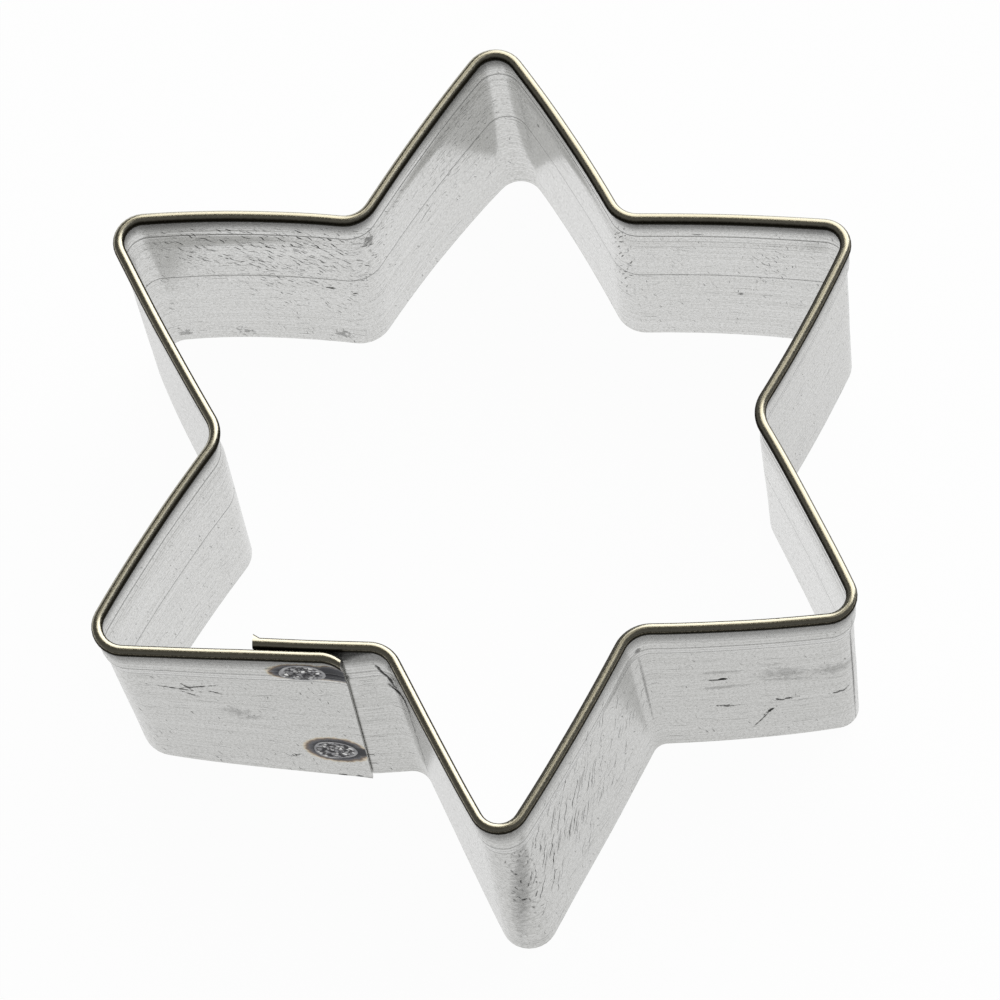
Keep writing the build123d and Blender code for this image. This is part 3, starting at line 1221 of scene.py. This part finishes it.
# %% The print's height
def weld_print(across, up, share, seed):
    """Height of the print at a place, how much of a crack it is, and its facet's tone."""
    spot = Vector((across / print_cell + seed, up / print_cell, seed))
    distances, centres = noise.voronoi(spot)[:2]
    crack = 1 - smooth(distances[1] - distances[0], *crack_width)
    facet = noise.cell(centres[0] * facet_spread)
    height = print_base + print_relief * facet * (1 - crack)
    swell = noise.noise(Vector((across * swells_per_mm, up * swells_per_mm, seed)))
    lip = smooth(share, *lip_place)
    height = height * (1 - lip) + lip_height * (1 + swell) * lip
    tuck = smooth(share, *tuck_place)
    height = height * (1 - tuck) + tucked_in * tuck
    tone = facet * (1 - lip) + (lip_tone + lip_swell * swell) * lip
    return height, crack * (1 - lip), tone


# %% One face of a weld
lap_along = (bead_route[-1] - bead_route[-4 * end_points]).normalized().to_3d()
lap_outward = outward_from(lap_along).to_3d()


def weld_face(work, skin, middle, outward, half_sizes, seed):
    """A round net cast onto the strip, from the side outward points to. Gives its last ring."""
    crack_layer = work.verts.layers.float["crack"]
    facet_layer = work.verts.layers.float["facet"]
    half_width, half_height = half_sizes
    rings = []
    for ring in range(weld_rings + 1):
        share = ring / weld_rings
        row = []
        for spoke in range(weld_spokes if ring else 1):
            angle = 2 * math.pi * spoke / weld_spokes
            out = share * (1 + wobble * math.sin(wobble_waves * angle + abs(seed)) * share)
            a, b = half_width * out * math.cos(angle), half_height * out * math.sin(angle)
            start = middle + (lap_along * a + Vector((0, 0, b)) + outward * cast_from) * MM
            hit = skin.ray_cast(start, -outward)[0]
            height, crack, facet = weld_print(a, b, share, seed)
            vertex = work.verts.new(hit + outward * height * MM)
            vertex[crack_layer], vertex[facet_layer] = crack, facet
            row.append(vertex)
        rings.append(row)
    for spoke in range(weld_spokes):
        after = (spoke + 1) % weld_spokes
        work.faces.new((rings[0][0], rings[1][spoke], rings[1][after]))
        for inner, outer in zip(rings[1:], rings[2:]):
            work.faces.new((inner[spoke], outer[spoke], outer[after], inner[after]))
    return rings[-1]


# %% A whole weld
def weld_piece(name, node, half_sizes, raised, seed):
    """A weld as a closed net over both faces of the lap, at its CAD node's place."""
    low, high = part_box(node)
    middle = (Vector(low) + Vector(high)) / 2 + Vector((0, 0, raised * MM))
    skin = BVHTree.FromPolygons(
        [vertex.co for vertex in strip.data.vertices],
        [tuple(face.vertices) for face in strip.data.polygons],
    )
    work = bmesh.new()
    for layer in ("crack", "facet"):
        work.verts.layers.float.new(layer)
    front = weld_face(work, skin, middle, lap_outward, half_sizes, seed)
    back = weld_face(work, skin, middle, -lap_outward, half_sizes, -seed)
    for spoke in range(weld_spokes):
        after = (spoke + 1) % weld_spokes
        work.faces.new((front[spoke], back[spoke], back[after], front[after]))
    bmesh.ops.recalc_face_normals(work, faces=work.faces)
    mesh = bpy.data.meshes.new(name)
    work.to_mesh(mesh)
    print(name, "faces:", len(work.faces), "mm3:", round(work.calc_volume() / MM ** 3, 2))
    work.free()
    mesh.materials.append(weld_metal)
    piece = new_piece(name, mesh)
    piece.data.shade_smooth()
    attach(piece, "root")
    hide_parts(node)
    return piece


# %% The welds
weld_piece("upper_spot_weld", "weld_upper", (1.9, 1.5), 0.35, 3.0)
weld_piece("lower_spot_weld", "weld_lower", (1.8, 1.55), 0.05, 8.0)

# %% [markdown]
# ## Light and backdrop
#
# A pale floor, a large soft lamp behind the cutter on the right, a small one high above,
# and a dim room. The metal is bright where it sees the floor or a lamp and dark where it
# sees the room. The floor looks white to the camera and in the metal, through the Light
# Path node. To the light that falls on it, it is plain grey paint, so that it isn't a
# lamp itself.

# %% Floor
floor_size = 3.0
white_share = 0.97

floor_mesh = bpy.data.meshes.new("floor")
half = floor_size / 2
floor_corners = [(-half, -half, 0), (half, -half, 0), (half, half, 0), (-half, half, 0)]
floor_mesh.from_pydata(floor_corners, [], [(0, 1, 2, 3)])
floor = new_piece("floor", floor_mesh)

floor_paint, floor_tree, matt = new_material("floor_paint")
matt.inputs["Base Color"].default_value = (0.85, 0.85, 0.85, 1)
matt.inputs["Roughness"].default_value = 1.0
rays = add_node(floor_tree, "ShaderNodeLightPath")
seen = maths(floor_tree, "MAXIMUM", rays.outputs["Is Camera Ray"], rays.outputs["Is Glossy Ray"])
seen = maths(floor_tree, "MAXIMUM", seen, rays.outputs["Is Transmission Ray"])
seen = maths(floor_tree, "MULTIPLY", seen, white_share)
white = add_node(floor_tree, "ShaderNodeEmission", {"Color": (1, 1, 1, 1), "Strength": 1.0})
shaders = {0: seen, 1: matt.outputs[0], 2: white.outputs[0]}
mixed = add_node(floor_tree, "ShaderNodeMixShader", shaders)
output = floor_tree.nodes["Material Output"]
floor_tree.links.new(mixed.outputs[0], output.inputs["Surface"])
floor_mesh.materials.append(floor_paint)

# %% Lamps and world
world = bpy.data.worlds.new("room")
scene.world = world
world.use_nodes = True
room = world.node_tree.nodes["Background"]
room.inputs["Color"].default_value = (0.8, 0.8, 0.8, 1)
room.inputs["Strength"].default_value = 0.15


def soft_lamp(name, place, width, height, power):
    """A rectangular soft lamp that faces the cutter."""
    lamp_data = bpy.data.lights.new(name, "AREA")
    lamp_data.shape = "RECTANGLE"
    lamp_data.size, lamp_data.size_y = width, height
    lamp_data.energy = power
    lamp = bpy.data.objects.new(name, lamp_data)
    scene.collection.objects.link(lamp)
    lamp.location = place
    lamp.rotation_euler = (-Vector(place)).to_track_quat("-Z", "Y").to_euler()
    return lamp


soft_lamp("far_lamp", (0.45, 0.95, 0.68), 1.75, 1.6, 23.0)
soft_lamp("upper_lamp", (0.48, 0.42, 1.75), 0.9, 0.9, 2.1)
